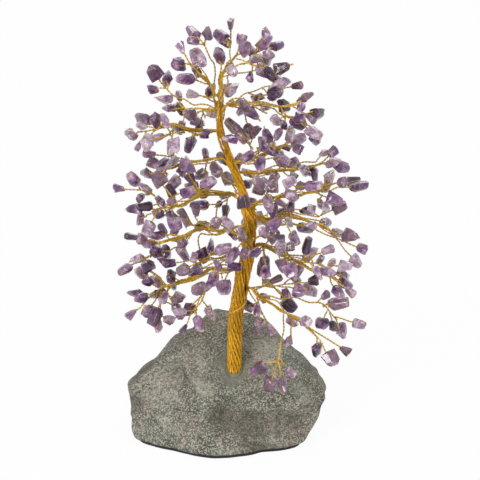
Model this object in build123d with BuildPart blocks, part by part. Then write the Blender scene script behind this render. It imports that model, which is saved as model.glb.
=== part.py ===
import math
import os

import numpy as np
from build123d import *

os.makedirs("parts", exist_ok=True)

# Driving sizes, in millimetres and degrees
tree_height = 253.0
crown_depth = 50.0
stone_width = 117.0
stone_depth = 84.0
stone_height = 66.0
pad_thickness = 1.4
pad_inset = 1.6
socket_depth = 20.0
socket_clearance = 1.0
glue_gap = 0.15
glue_bead = 0.9
strand_diameter = 1.5
strand_gap = 0.25
lay_length = 64.0
lead_out = 2.2
sprig_diameter = 0.95
stem_diameter = 0.75
wire_gap = 0.08
binding_diameter = 0.8
binding_pitch = 20.0
binding_drop = 27.0
chip_length = 10.0
chip_width = 8.0
chip_thickness = 6.2
bore_gap = 0.12
stem_proud = 0.5
chip_gap = 0.25
overrun = 20.0

# Counts, angles and shares
outer_strands = 11
inner_strands = 6
strand_sides = 5
sprig_sides = 4
stem_sides = 3
lay_steps = 8
binding_turns = 1.25
binding_sides = 5
chip_tapers = (4, 9, 6, 11)
chip_lean = 30
chip_grade_shares = (0.80, 1.0, 1.12)
chip_corner_share = 0.62
chip_depth_share = 0.1
root_shares = np.linspace(0.04, 0.98, 14)
root_tries = 8
branch_angle = 45
least_branch_sine = 0.45
carry_on_cosine = 0.6
depth_shift_share = 0.09
side_shift_shares = (0.08, 0.15, 0.22, 0.3)
side_depth_shares = (0.0, 0.15, -0.15, 0.3, -0.3, 0.45)
golden_angle = 180 * (3 - math.sqrt(5))

# Places read from the photograph: columns and rows of its 480 x 480 frame, seen 18 degrees from above
view_tilt = math.radians(18)
stone_column = 226
foot_row = 370
top_row = 22
floor_row = 437
trunk_pixels = (
    (234, 370), (235, 320), (239, 296), (243, 276), (247, 258), (248, 244), (250, 228), (250, 215),
    (247, 205), (244, 196), (238, 179), (232, 165), (226, 150), (220, 136), (219, 123), (220, 100), (221, 88),
)
pixel = tree_height * math.cos(view_tilt) / (floor_row - top_row)

# Each limb: the row where it leaves the trunk, then its wires with the chips that hang on each.
# A wire is its bends (column, row, depth as a share of the crown's depth) and a chip is its column and row.
# The first wire is the limb itself, and the others are the sprigs that branch from it.
limb_pixels_and_depth_shares = {
    "low_right": (288, (
        (((258, 297, -0.12), (271, 304, -0.25), (286, 313, -0.40), (304, 323, -0.45), (318, 338, -0.45)),
         ((317, 350), (330, 358), (345, 350), (305, 321))),
        (((282, 338, -0.60), (277, 362, -0.72)), ((257, 368), (290, 371), (282, 385), (270, 384))),
        (((293, 326, -0.20),), ((289, 341), (293, 321))),
        (((262, 314, -0.05),), ((246, 307), (257, 311), (266, 298), (260, 327), (271, 329))),
        (((289, 299, 0.10), (320, 304, 0.22), (338, 320, 0.25)),
         ((361, 325), (345, 334), (334, 327), (323, 326), (341, 304), (326, 297), (335, 303))),
        (((298, 284, 0.28),), ((298, 271), (297, 281), (300, 291), (308, 287), (314, 281))),
        (((273, 281, 0.30),), ((263, 269), (267, 284), (276, 280), (288, 285), (286, 301))),
    )),
    "left_low": (275, (
        (((226, 271, 0.05), (209, 270, 0.10), (196, 278, 0.12), (174, 284, 0.15), (158, 290, 0.15)),
         ((148, 282), (155, 281), (155, 296), (163, 298))),
        (((146, 300, 0.10),), ((133, 294), (140, 298), (131, 314), (147, 312))),
        (((170, 280, 0.36),), ((170, 276), (171, 287))),
        (((163, 304, 0.32),), ((171, 299), (154, 305), (166, 307), (170, 313))),
        (((156, 320, 0.20),), ((149, 330), (161, 321))),
        (((149, 271, 0.30),), ((147, 266), (146, 274))),
        (((219, 286, -0.25), (206, 288, -0.35), (195, 312, -0.50)),
         ((184, 328), (199, 323), (188, 311), (181, 311), (211, 314), (198, 288))),
    )),
    "left_inner": (258, (
        (((223, 257, -0.15), (208, 260, -0.35), (194, 264, -0.45)),
         ((195, 258), (184, 270), (195, 271), (175, 267))),
        (((211, 252, -0.60),), ((211, 245), (217, 249), (212, 259))),
        (((221, 269, -0.45),), ((228, 266), (224, 275), (214, 277), (210, 267))),
    )),
    "right_low": (246, (
        (((272, 249, -0.12), (293, 261, -0.22), (313, 270, -0.30), (338, 280, -0.30)),
         ((346, 284), (349, 291), (337, 292), (339, 275))),
        (((330, 263, -0.20),), ((332, 263), (345, 266), (327, 271), (326, 256))),
        (((310, 256, -0.48),), ((307, 245), (311, 253), (320, 250), (317, 274))),
        (((284, 251, -0.45),), ((279, 247), (289, 247), (283, 259), (290, 264))),
        (((264, 250, -0.48),), ((254, 245), (262, 245), (256, 257), (265, 258), (273, 254))),
    )),
    "front": (238, (
        (((249, 244, -0.40), (246, 240, -0.80)), ((240, 233), (244, 253), (243, 202))),
        (((266, 235, -0.85),), ((263, 232), (270, 238), (279, 229))),
        (((226, 229, -0.80),), ((226, 223), (217, 222), (225, 234), (231, 238))),
    )),
    "left_arm": (231, (
        (((220, 231, 0.12), (203, 228, 0.20), (180, 237, 0.28), (158, 244, 0.32)),
         ((142, 239), (148, 244), (155, 235), (130, 237))),
        (((150, 257, 0.25),), ((135, 260), (146, 254), (153, 257), (137, 270))),
        (((168, 240, 0.55),), ((162, 243), (166, 234), (174, 234), (164, 254))),
        (((182, 250, 0.05),), ((184, 244), (176, 251), (184, 256))),
        (((188, 220, 0.40),), ((183, 213), (184, 220), (176, 225), (196, 212))),
    )),
    "right_arm": (222, (
        (((268, 221, 0.12), (290, 217, 0.25), (313, 222, 0.30), (334, 233, 0.30)),
         ((340, 233), (352, 236), (363, 249), (352, 257))),
        (((323, 214, 0.20),), ((340, 207), (325, 208), (327, 222), (310, 209))),
        (((292, 208, 0.50),), ((281, 203), (292, 202), (288, 212), (299, 210))),
        (((268, 213, 0.45),), ((266, 210), (258, 219), (279, 213))),
        (((298, 226, 0.02),), ((288, 222), (302, 223), (310, 225), (295, 232))),
    )),
    "right_wide": (208, (
        (((266, 201, -0.10), (280, 197, -0.20), (310, 193, -0.30), (330, 184, -0.35)),
         ((329, 177), (340, 184), (347, 177), (354, 181))),
        (((322, 191, -0.10),), ((314, 178), (326, 187), (335, 194), (321, 197))),
        (((296, 187, -0.50),), ((287, 183), (289, 190), (300, 187), (312, 187))),
        (((266, 193, -0.48),), ((257, 183), (259, 192), (268, 190), (261, 205))),
    )),
    "back": (200, (
        (((244, 196, 0.40), (234, 190, 0.75)), ((225, 195), (228, 177), (240, 182))),
        (((215, 206, 0.80),), ((219, 203), (212, 213), (205, 204), (210, 217))),
        (((228, 164, 0.72),), ((222, 157), (238, 160), (216, 172))),
        (((256, 209, 0.85),), ((250, 199), (262, 213), (251, 222))),
    )),
    "left_mid": (194, (
        (((216, 193, -0.10), (199, 195, -0.18), (180, 206, -0.25), (160, 209, -0.30)),
         ((145, 207), (134, 209), (159, 214))),
        (((148, 215, -0.15),), ((132, 219), (140, 220))),
        (((155, 196, -0.32), (140, 190, -0.36)), ((121, 189), (135, 180), (145, 188), (143, 199))),
        (((168, 215, -0.50),), ((167, 217), (163, 223), (163, 203))),
        (((172, 196, -0.55),), ((165, 191), (160, 198), (173, 202), (183, 193))),
        (((195, 188, -0.48),), ((188, 186), (197, 185), (209, 183), (188, 179))),
    )),
    "right_mid": (180, (
        (((258, 174, 0.12), (284, 170, 0.25), (310, 167, 0.30), (324, 162, 0.30)),
         ((333, 152), (334, 163), (343, 166), (324, 153))),
        (((306, 170, 0.10),), ((314, 164), (303, 172), (293, 163))),
        (((280, 168, 0.52),), ((281, 164), (281, 157), (286, 176), (273, 180))),
        (((256, 178, 0.45),), ((247, 171), (263, 171), (262, 180))),
    )),
    "right_upper": (166, (
        (((253, 160, -0.12), (272, 152, -0.30), (290, 144, -0.40)),
         ((297, 141), (296, 151), (288, 156), (289, 136))),
        (((275, 141, -0.15),), ((277, 136), (266, 136), (264, 146), (276, 148))),
        (((256, 150, -0.55),), ((247, 152), (250, 146), (263, 154), (260, 161))),
        (((245, 140, -0.45),), ((241, 136), (255, 135), (237, 123), (228, 130))),
    )),
    "left_upper": (160, (
        (((205, 160, 0.15), (180, 164, 0.28), (160, 170, 0.35)),
         ((153, 162), (145, 173), (152, 174), (161, 177))),
        (((172, 157, 0.12),), ((163, 165), (173, 164), (150, 154))),
        (((186, 170, 0.52),), ((186, 160), (173, 170), (182, 171), (195, 173), (179, 177))),
        (((206, 164, 0.45),), ((205, 154), (208, 161), (204, 172))),
    )),
    "left_high": (134, (
        (((196, 131, -0.12), (172, 127, -0.25), (153, 131, -0.32)),
         ((145, 128), (157, 123), (149, 139), (160, 139))),
        (((141, 134, -0.30),), ((133, 138), (145, 120), (141, 146))),
        (((172, 138, -0.52),), ((166, 150), (177, 150), (150, 146), (167, 123))),
        (((195, 139, -0.45),), ((190, 146), (205, 137), (184, 134))),
    )),
    "left_shoulder": (118, (
        (((203, 110, 0.12), (186, 109, 0.25), (172, 98, 0.30)), ((164, 100), (179, 97), (167, 108))),
        (((164, 87, 0.35),), ((156, 74), (154, 90), (167, 77))),
        (((184, 116, 0.50),), ((179, 113), (181, 121), (191, 122))),
        (((205, 118, 0.35),), ((206, 111), (200, 125), (191, 109))),
    )),
    "right_shoulder": (112, (
        (((236, 105, 0.0), (261, 106, -0.15), (282, 109, -0.25), (299, 107, -0.30)),
         ((305, 100), (299, 111), (284, 108), (293, 119))),
        (((249, 93, 0.25), (268, 88, 0.35), (285, 89, 0.40)),
         ((296, 87), (280, 91), (289, 95), (275, 95), (259, 97))),
        (((304, 117, -0.20),), ((316, 115), (308, 121), (306, 130))),
        (((284, 121, -0.50),), ((273, 125), (288, 131), (294, 127), (299, 136))),
        (((266, 114, 0.15),), ((265, 109), (273, 103))),
        (((243, 114, -0.40),), ((244, 108), (234, 112), (253, 117), (250, 126))),
    )),
    "upper_left": (104, (
        (((211, 88, -0.10), (199, 76, -0.20), (189, 66, -0.25)),
         ((183, 53), (180, 69), (197, 58), (203, 67))),
        (((190, 80, 0.02),), ((197, 71), (186, 82))),
        (((204, 98, 0.25),), ((194, 96), (204, 90), (213, 89), (211, 98), (219, 103))),
    )),
    "leader": (88, (
        (((221, 80, 0.0), (227, 70, 0.0), (238, 58, -0.08)), ((245, 54), (241, 44), (232, 75))),
        (((212, 64, -0.10), (204, 47, -0.15)), ((193, 35), (195, 47), (209, 38), (213, 57))),
        (((231, 44, 0.12),), ((231, 29), (221, 38), (219, 46), (224, 66))),
        (((247, 64, 0.15), (259, 53, 0.20)),
         ((252, 52), (257, 44), (264, 40), (270, 47), (267, 54), (260, 59))),
        (((252, 68, -0.15), (264, 70, -0.25)), ((255, 64), (257, 74), (250, 80), (263, 80))),
        (((256, 72, 0.30), (273, 74, 0.40)), ((276, 69), (285, 80), (273, 86))),
    )),
}

# Fracture planes of the stone: the way each face looks, as azimuth and rise in degrees, and a point on it
# as shares of the stone's half width, half depth and height
stone_face_shares = (
    (270, 56, 0.08, 0.00, 0.62),
    (90, 78, 0.00, 0.84, 0.99),
    (84, 12, 0.13, 0.95, 0.43),
    (177, 55, -0.14, 0.88, 0.94),
    (0, 53, 0.16, 0.79, 0.99),
    (182, -13, -1.07, 0.00, 0.54),
    (182, 26, -0.95, 0.00, 0.53),
    (358, -29, 1.06, 0.00, 0.44),
    (1, 21, 0.95, 0.00, 0.46),
    (272, 46, 0.00, -0.20, 0.53),
    (251, 13, -0.25, -0.85, 0.00),
    (283, 17, 0.13, -0.85, 0.00),
    (237, 17, -0.70, -0.49, 0.00),
    (236, 45, -0.49, -0.12, 0.56),
    (311, 8, 0.62, -0.60, 0.00),
    (306, 47, 0.63, -0.16, 0.53),
    (133, 19, -0.86, 0.79, 0.40),
    (58, 23, 0.74, 0.85, 0.34),
)

# Chips: their outlines, as shares of half the length or width, and of half the thickness
chip_outline_shares = (
    ((1.00, 0.05), (0.30, 1.00), (-0.75, 0.80), (-1.00, -0.35), (0.20, -1.00)),
    ((1.00, 0.45), (-0.65, 1.00), (-1.00, -0.40), (0.55, -1.00)),
    ((1.00, -0.30), (0.45, 0.95), (-0.70, 1.00), (-1.00, -0.15), (-0.15, -1.00)),
    ((1.00, 0.90), (-0.80, 0.70), (-0.95, -0.95), (0.75, -0.80)),
)


def unit(vector):
    return vector / np.linalg.norm(vector)


def facing(azimuth, rise):
    """The unit vector that looks to an azimuth and a rise in degrees."""
    turn, lift = math.radians(azimuth), math.radians(rise)
    return np.array((math.cos(turn) * math.cos(lift), math.sin(turn) * math.cos(lift), math.sin(lift)))


stone_faces = []
for azimuth, rise, x, y, z in stone_face_shares:
    spot = np.array((x * stone_width / 2, y * stone_depth / 2, pad_thickness + z * stone_height))
    stone_faces.append((facing(azimuth, rise), spot))
slope_way, slope_point = stone_faces[0]
trunk_x = (trunk_pixels[0][0] - stone_column) * pixel
mouth_height = slope_point[2] - slope_way[0] / slope_way[2] * (trunk_x - slope_point[0])


def place(column, row, depth=0.0):
    """A place in the photograph, at a depth behind the trunk's foot, as a point of the model."""
    rise = ((foot_row - row) * pixel - depth * math.sin(view_tilt)) / math.cos(view_tilt)
    return np.array(((column - stone_column) * pixel, depth, mouth_height + rise))


class Crowd:
    """The wires and chips placed so far, as straight lines with a radius, for the next to keep clear of."""

    def __init__(self):
        self.starts = np.zeros((0, 3))
        self.ends = np.zeros((0, 3))
        self.radii = np.zeros(0)

    def add(self, points, radius):
        self.starts = np.vstack([self.starts, points[:-1]])
        self.ends = np.vstack([self.ends, points[1:]])
        self.radii = np.append(self.radii, np.full(len(points) - 1, radius))

    def room(self, start, end, radius):
        """The least gap between a new line and those placed: the nearest points of two straight lines."""
        along, other, between = end - start, self.ends - self.starts, start - self.starts
        a, e = along @ along, np.einsum("ij,ij->i", other, other)
        b, c, f = other @ along, between @ along, np.einsum("ij,ij->i", other, between)
        spread = a * e - b * b
        s = np.clip(np.where(spread > 0, (b * f - c * e) / np.where(spread > 0, spread, 1), 0), 0, 1)
        t = np.clip((b * s + f) / e, 0, 1)
        s = np.clip((b * t - c) / a, 0, 1)
        apart = between + s[:, None] * along - t[:, None] * other
        gap = (np.linalg.norm(apart, axis=1) - self.radii).min() - radius
        outside = [max((p - point) @ way for way, point in stone_faces) for p in (start, end)]
        return min(gap, min(outside) - radius)


# The trunk's centre line from just above the floor of the socket to the leader
foot = place(*trunk_pixels[0])
bends = np.array([foot - (0, 0, socket_depth - strand_diameter / 2)] + [place(*p) for p in trunk_pixels])
run = np.append(0, np.cumsum(np.linalg.norm(np.diff(bends, axis=0), axis=1)))


def trunk_centre(distance):
    return np.array([np.interp(distance, run, bends[:, k]) for k in range(3)])


def trunk_frame(distance):
    """Centre, and the two directions across the trunk, at a distance from its lower end."""
    step = lay_length / lay_steps
    way = unit(trunk_centre(min(distance + step, run[-1])) - trunk_centre(max(distance - step, 0)))
    depth = np.array((0.0, 1.0, 0.0))
    return trunk_centre(distance), np.cross(depth, way), depth


def on_strand(distance, ring, angle):
    """A point of a strand that turns round the trunk's centre line once in each lay length."""
    centre, across, depth = trunk_frame(distance)
    turn = angle - 2 * math.pi * distance / lay_length
    return centre + ring * (math.cos(turn) * across + math.sin(turn) * depth)


strand_step = strand_diameter + strand_gap
rings = (
    [(2 * strand_step, 2 * math.pi * k / outer_strands) for k in range(outer_strands)]
    + [(strand_step, 2 * math.pi * k / inner_strands) for k in range(inner_strands)]
    + [(0.0, 0.0)]
)
bundle_radius = 2 * strand_step + strand_diameter / 2

# The lower limbs are strands of the outer ring, the upper ones of the inner ring, and the leader is the core
free = list(rings)
limb_routes = {}
crowd = Crowd()
for limb, (exit_row, wires) in limb_pixels_and_depth_shares.items():
    first = place(*wires[0][0][0][:2], wires[0][0][0][2] * crown_depth)
    leave = float(np.interp(-exit_row, [-row for _, row in trunk_pixels], run[1:]))
    centre, across, depth = trunk_frame(leave)
    toward = math.atan2((first - centre) @ depth, (first - centre) @ across)
    widest = max(ring for ring, _ in free)

    def mismatch(strand):
        return -math.cos(strand[1] - 2 * math.pi * leave / lay_length - toward)

    ring, angle = min((s for s in free if s[0] == widest), key=mismatch)
    free.remove((ring, angle))
    stations = np.arange(0, leave, lay_length / lay_steps)
    route = [on_strand(s, ring, angle) for s in stations]
    if ring > 0:
        follow = 2 * math.pi * lead_out / lay_length
        route.append(on_strand(leave + lead_out, ring + lead_out, angle + follow))
    outside = [place(column, row, share * crown_depth) for column, row, share in wires[0][0]]
    limb_routes[limb] = np.array(route + outside), len(outside)
    crowd.add(limb_routes[limb][0], strand_diameter / 2)


def wire_starts(parent, aim, parent_radius, radius):
    """Where a wire that aims at a point can leave a parent wire, the short and slanting ways first."""
    found = []
    for low, high in zip(parent[:-1], parent[1:]):
        length = np.linalg.norm(high - low)
        way = (high - low) / length
        for share in root_shares:
            root = low + share * (high - low)
            line = unit(aim - root)
            cosine = float(np.clip(line @ way, -1, 1))
            sine = math.sqrt(1 - cosine * cosine)
            if sine < least_branch_sine:
                continue
            reach = (parent_radius + wire_gap + radius * abs(cosine)) / sine
            if not radius < share * length + reach * cosine < length - radius:
                continue
            lean = 1 + abs(math.degrees(math.acos(cosine)) - branch_angle) / branch_angle / 2
            found.append((np.linalg.norm(aim - root) * lean, root + reach * line))
    # one wire can also carry on from the parent's end
    line = unit(aim - high)
    if line @ way > carry_on_cosine or not found:
        step = wire_gap + radius * np.linalg.norm(np.cross(line, way))
        found.append((np.linalg.norm(aim - high), high + way * step))
    return [start for _, start in sorted(found, key=lambda pair: pair[0])]


def best_wire(parent, paths, radius, end_radius):
    """The points of the first clear wire from a parent along one of the paths, or of the roomiest one."""
    points, parent_radius = parent
    tried = []
    for path in paths:
        aim = path[0]
        later = [crowd.room(a, b, radius) for a, b in zip(path[:-1], path[1:])]
        if end_radius:
            half = unit(aim - points[-1]) * radius
            later.append(crowd.room(aim - half, aim + half, end_radius - radius))
        if tried and min(later + [chip_gap]) < max(room for room, _ in tried):
            continue
        for start in wire_starts(points, aim, parent_radius, radius)[:root_tries]:
            line = unit(aim - start)
            spare = np.linalg.norm(aim - start) - end_radius - 3 * radius
            room = crowd.room(start + line * 2 * radius, aim - line * end_radius, radius)
            room = min([room, spare] + later)
            if room > chip_gap:
                return [start] + list(path)
            tried.append((room, [start] + list(path)))
    room, best = max(tried, key=lambda t: t[0])
    print("tight place", round(room, 2), np.round(best[1], 1))
    return best


# Places tried in turn for a wire or chip: shifts in depth, then also across the picture
shift_shares = [(0.0, 0.0, 0.0)]
for k in range(1, 5):
    shift_shares += [(0.0, 0.0, depth_shift_share * k), (0.0, 0.0, -depth_shift_share * k)]
for across in side_shift_shares:
    for turn in range(8):
        column, row = across * math.cos(math.pi * turn / 4), across * math.sin(math.pi * turn / 4)
        shift_shares += [(column, row, depth) for depth in side_depth_shares]


def paths_near(bends_and_shares):
    """The same bends at each of the shifts, as points of the model."""
    for column, row, depth in shift_shares:
        moved = np.array((column, 0, -row)) * crown_depth
        yield [place(c, r, (d + depth) * crown_depth) + moved for c, r, d in bends_and_shares]


chip_reach = math.sqrt(chip_length ** 2 + chip_width ** 2) / 2
limb_parents = {}
for limb, (exit_row, wires) in limb_pixels_and_depth_shares.items():
    route, free_points = limb_routes[limb]
    limb_parents[limb] = [(route[-free_points - 1:], strand_diameter / 2)]
    for bends_and_shares, _ in wires[1:]:
        paths = paths_near(bends_and_shares)
        sprig = np.array(best_wire(limb_parents[limb][0], paths, sprig_diameter / 2, 0.0))
        limb_parents[limb].append((sprig, sprig_diameter / 2))
        crowd.add(sprig, sprig_diameter / 2)

limb_chips = {}
count = 0
for limb, (exit_row, wires) in limb_pixels_and_depth_shares.items():
    limb_chips[limb] = []
    for parent, (bends_and_shares, chips) in zip(limb_parents[limb], wires):
        for column, row in chips:
            count += 1
            grade = chip_grade_shares[count % len(chip_grade_shares)]
            share = bends_and_shares[-1][2] + chip_depth_share * math.sin(math.radians(golden_angle * count))
            paths = paths_near([(column, row, share)])
            start, centre = best_wire(parent, paths, stem_diameter / 2, chip_reach * grade)
            line = unit(centre - start)
            crowd.add(np.array((start, centre - line * chip_reach * grade)), stem_diameter / 2)
            half = line * stem_diameter / 2
            crowd.add(np.array((centre - half, centre + half)), chip_reach * grade - stem_diameter / 2)
            limb_chips[limb].append((start, centre, grade, count))

print("chips", count)

# The stone: a block broken along its fracture planes, with the trunk's socket drilled in its sloping face
with BuildPart() as stone_base:
    with BuildSketch(Plane.XY.offset(pad_thickness)):
        Rectangle(stone_width + overrun, stone_depth + overrun)
    extrude(amount=stone_height)
    for way, point in stone_faces:
        split(bisect_by=Plane(origin=tuple(point), z_dir=tuple(way)), keep=Keep.BOTTOM)
    floor = stone_base.faces().sort_by(Axis.Z)[0]
    with BuildSketch(Plane.XY.offset(foot[2] - socket_depth)):
        with Locations((trunk_x, 0)):
            Circle(bundle_radius + socket_clearance)
    extrude(amount=stone_height, mode=Mode.SUBTRACT)
stone_base.part.label = "stone_base"
export_step(stone_base.part, "parts/stone_base.step")

# The dark pad glued under the stone
with BuildPart() as base_pad:
    with BuildSketch(Plane.XY):
        add(floor.moved(Location((0, 0, -pad_thickness))))
        offset(amount=-pad_inset, kind=Kind.INTERSECTION, mode=Mode.REPLACE)
    extrude(amount=pad_thickness)
base_pad.part.label = "base_pad"
export_step(base_pad.part, "parts/base_pad.step")

# The glue sleeve that holds the strands in the socket, with a low bead that follows the slope
with BuildPart() as socket_glue:
    with BuildSketch(Plane.XY.offset(foot[2] - socket_depth)):
        with Locations((trunk_x, 0)):
            Circle(bundle_radius + socket_clearance - glue_gap)
            Circle(bundle_radius + glue_gap, mode=Mode.SUBTRACT)
    extrude(amount=stone_height)
    bead = slope_point + slope_way * glue_bead
    split(bisect_by=Plane(origin=tuple(bead), z_dir=tuple(slope_way)), keep=Keep.BOTTOM)
socket_glue.part.label = "socket_glue"
export_step(socket_glue.part, "parts/socket_glue.step")

# The binding wire, wound round the trunk below its first limb, against the lay of the strands
binding_radius = bundle_radius + wire_gap + binding_diameter / 2
first_exit_row = max(exit_row for exit_row, _ in limb_pixels_and_depth_shares.values())
binding_foot = np.array((trunk_x, 0, place(stone_column, first_exit_row)[2] - binding_drop))
binding_quarters = int(4 * binding_turns)


def on_binding(turn):
    angle = 2 * math.pi * turn
    lean = np.interp(binding_foot[2] + binding_pitch * turn, bends[:, 2], bends[:, 0]) - trunk_x
    across, back = binding_radius * math.cos(angle), binding_radius * math.sin(angle)
    return tuple(binding_foot + (lean + across, back, binding_pitch * turn))


with BuildPart() as trunk_binding:
    with BuildLine() as winding:
        for k in range(binding_quarters):
            bow = ThreePointArc(on_binding(k / 4), on_binding(k / 4 + 0.125), on_binding(k / 4 + 0.25))
            if k == 0:
                Line(bow @ 0 - (bow % 0) * binding_diameter, bow @ 0)
        Line(bow @ 1, bow @ 1 + (bow % 1) * binding_diameter)
    with BuildSketch(Plane(origin=winding.wire() @ 0, z_dir=winding.wire() % 0)):
        RegularPolygon(binding_diameter / 2, binding_sides)
    sweep()
trunk_binding.part.label = "trunk_binding"
export_step(trunk_binding.part, "parts/trunk_binding.step")
turns = np.array([on_binding(t) for t in np.arange(0, binding_turns, 0.01)])
gaps = np.linalg.norm(turns[:, None] - turns[None], axis=2)
apart = np.abs(np.subtract.outer(np.arange(len(turns)), np.arange(len(turns)))) > 50
print("least gap of the winding to itself", round(float(gaps[apart].min()) - binding_diameter, 2))


def wire(points, diameter, sides):
    """One unbroken wire with mitred bends."""
    with BuildPart() as bent:
        with BuildLine():
            Polyline(*[tuple(p) for p in points])
        with BuildSketch(Plane(origin=tuple(points[0]), z_dir=tuple(points[1] - points[0]))):
            RegularPolygon(diameter / 2, sides)
        sweep(transition=Transition.RIGHT)
    return bent.part


bore_radius = stem_diameter / 2 + 2 * bore_gap


def chip_blank(number, grade):
    """A chip drilled along Z: an outline drawn out to a taper, some with one corner broken off."""
    outline = chip_outline_shares[number % len(chip_outline_shares)]
    upright = number >= len(chip_outline_shares)
    tall = grade * (chip_length if upright else chip_width)
    wide = grade * (chip_width if upright else chip_length)
    thick = grade * chip_thickness
    with BuildPart() as blank:
        with BuildSketch(Plane.XY.offset(-tall / 2)):
            with BuildLine():
                Polyline(*[(x * wide / 2, y * thick / 2) for x, y in outline], close=True)
            make_face()
        extrude(amount=tall, taper=chip_tapers[number % len(chip_tapers)])
        if len(outline) == 4:
            corner = unit(np.array((wide, -thick, tall)))
            spot = corner * chip_corner_share * math.sqrt(wide ** 2 + thick ** 2 + tall ** 2) / 2
            split(bisect_by=Plane(origin=tuple(spot), z_dir=tuple(corner)), keep=Keep.BOTTOM)
        with BuildSketch(Plane.XY.offset(-tall / 2)):
            RegularPolygon(bore_radius, stem_sides)
        extrude(amount=tall, mode=Mode.SUBTRACT)
    return blank.part


blanks = {(n, g): chip_blank(n, g) for n in range(2 * len(chip_outline_shares)) for g in chip_grade_shares}

for limb in limb_routes:
    limb_wire = wire(limb_routes[limb][0], strand_diameter, strand_sides)
    limb_wire.label = f"{limb}_limb"
    export_step(limb_wire, f"parts/{limb}_limb.step")

    twig_solids = [wire(points, sprig_diameter, sprig_sides) for points, _ in limb_parents[limb][1:]]
    chip_solids = []
    for start, centre, grade, number in limb_chips[limb]:
        line = unit(centre - start)
        kind = number % (2 * len(chip_outline_shares))
        tall = grade * (chip_length if kind >= len(chip_outline_shares) else chip_width)
        across = unit(np.cross(line, facing(golden_angle * number, chip_lean)))
        upward = line if number % 3 else -line
        seat = Plane(origin=tuple(centre), x_dir=tuple(across), z_dir=tuple(upward))
        chip_solids.append(blanks[kind, grade].moved(seat.location))
        tip = centre + line * (tall / 2 + stem_proud)
        with BuildPart() as stem:
            with BuildSketch(Plane(origin=tuple(start), x_dir=tuple(across), z_dir=tuple(line))):
                RegularPolygon(stem_diameter / 2, stem_sides)
            extrude(amount=float(np.linalg.norm(tip - start)))
        twig_solids.append(stem.part)

    with BuildPart() as twigs:
        add(twig_solids)
    twigs.part.label = f"{limb}_twigs"
    export_step(twigs.part, f"parts/{limb}_twigs.step")

    with BuildPart() as chips:
        add(chip_solids)
    chips.part.label = f"{limb}_chips"
    export_step(chips.part, f"parts/{limb}_chips.step")
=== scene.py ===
import math

import bpy
import numpy as np
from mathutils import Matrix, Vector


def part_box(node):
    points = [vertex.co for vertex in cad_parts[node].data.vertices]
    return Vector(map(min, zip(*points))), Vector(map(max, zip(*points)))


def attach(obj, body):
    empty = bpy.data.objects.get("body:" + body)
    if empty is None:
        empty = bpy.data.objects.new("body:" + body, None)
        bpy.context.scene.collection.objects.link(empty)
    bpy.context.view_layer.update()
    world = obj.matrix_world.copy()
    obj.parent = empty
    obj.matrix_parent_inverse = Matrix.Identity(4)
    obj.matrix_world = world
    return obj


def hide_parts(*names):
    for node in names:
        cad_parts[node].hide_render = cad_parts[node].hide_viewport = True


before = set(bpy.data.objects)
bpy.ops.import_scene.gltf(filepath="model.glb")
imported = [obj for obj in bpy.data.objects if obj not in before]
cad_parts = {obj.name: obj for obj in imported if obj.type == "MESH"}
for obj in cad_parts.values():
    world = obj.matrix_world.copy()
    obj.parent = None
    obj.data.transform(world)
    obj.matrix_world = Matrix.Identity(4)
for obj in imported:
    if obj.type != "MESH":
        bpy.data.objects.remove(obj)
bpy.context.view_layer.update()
scene = bpy.context.scene
limbs = [name.removesuffix("_limb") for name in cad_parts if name.endswith("_limb")]

# The view: its tilt in degrees, the point looked at, the width seen there, and the camera's distance from it
viewLook = {
    "tilt": 18.0, "centre": (0.0081, 0.0, 0.1216), "width": 0.2783, "distance": 1.8,
    "sensor": 36.0, "clip": 50.0,
}
viewTilt = math.radians(viewLook["tilt"])


# A shader socket with ordinary arithmetic; each operator adds its Math node
class Value:
    def __init__(self, tree, socket):
        self.tree = tree
        self.socket = socket

    # any other node: its type, settings, socket values or links, and the output that is wanted
    def node(self, kind, inputs=None, output=0, **settings):
        made = self.tree.nodes.new(kind)
        for key, value in settings.items():
            setattr(made, key, value)
        for key, value in (inputs or {}).items():
            if isinstance(value, Value):
                self.tree.links.new(value.socket, made.inputs[key])
            else:
                made.inputs[key].default_value = value
        return Value(self.tree, made.outputs[output])

    # a Math node of two values or numbers
    def math(self, kind, first, second):
        return self.node("ShaderNodeMath", {0: first, 1: second}, operation=kind)

    def __add__(self, other):
        return self.math("ADD", self, other)

    def __sub__(self, other):
        return self.math("SUBTRACT", self, other)

    def __mul__(self, other):
        return self.math("MULTIPLY", self, other)

    def __radd__(self, other):
        return self.math("ADD", other, self)

    def __rsub__(self, other):
        return self.math("SUBTRACT", other, self)

    def __rmul__(self, other):
        return self.math("MULTIPLY", other, self)


# A new material, its shader, and the coordinates of the piece that wears it
def newMaterial(name):
    material = bpy.data.materials.new(name)
    material.use_nodes = True
    tree = material.node_tree
    coords = Value(tree, tree.nodes.new("ShaderNodeTexCoord").outputs["Object"])
    return material, tree.nodes["Principled BSDF"], coords


# What changes over a surface is linked to a socket of its shader
def feed(value, shader, name):
    value.tree.links.new(value.socket, shader.inputs[name])


# What is the same all over a surface is set on the shader's own sockets
def settle(shader, values):
    for name, value in values.items():
        shader.inputs[name].default_value = value


# Cloudy noise from 0 to 1, with about scale clouds to a metre
def noise(coords, scale, detail=3.0, rough=0.55):
    inputs = {"Vector": coords, "Scale": scale, "Detail": detail, "Roughness": rough}
    return coords.node("ShaderNodeTexNoise", inputs, "Fac")


# 0 up to low, 1 from high on, and a smooth step between; low may be the larger one
def step(value, low, high):
    inputs = {"Value": value, "From Min": low, "From Max": high}
    return value.node("ShaderNodeMapRange", inputs, "Result", interpolation_type="SMOOTHSTEP")


# A straight line from low to high as the factor goes from 0 to 1
def between(factor, low, high):
    return factor * (high - low) + low


# The mean of two values, in which the first counts for its share and the second for the rest
def weigh(first, second, share):
    return first * share + second * (1 - share)


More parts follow.
